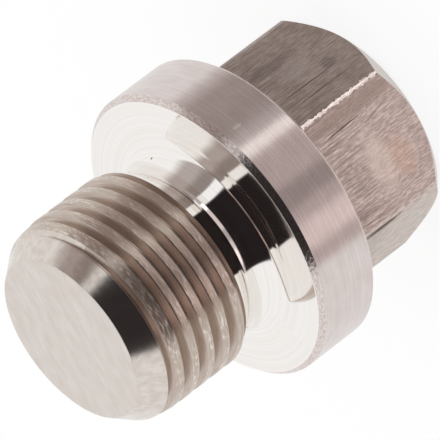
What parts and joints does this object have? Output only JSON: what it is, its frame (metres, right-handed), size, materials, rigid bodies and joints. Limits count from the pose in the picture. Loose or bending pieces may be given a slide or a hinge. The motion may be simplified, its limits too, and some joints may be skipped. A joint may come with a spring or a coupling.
{
  "type": "hex head pipe plug",
  "caption": "Solid hex head pipe plug with a short parallel pipe thread, a relief neck and a round sealing collar.",
  "frame": {"origin": "centre of the hex head's end face, on the plug's axis, which the plug stands on", "axes": "+Z along the plug's axis, from the hex head to the thread's tip; X is square to a pair of wrench flats"},
  "size_m": [0.014, 0.014, 0.0172],
  "materials": {
    "turned_steel": "turned, lightly brushed, bare metal"
  },
  "bodies": {
    "root": {"plug_body": "turned_steel"}
  },
  "joints": []
}
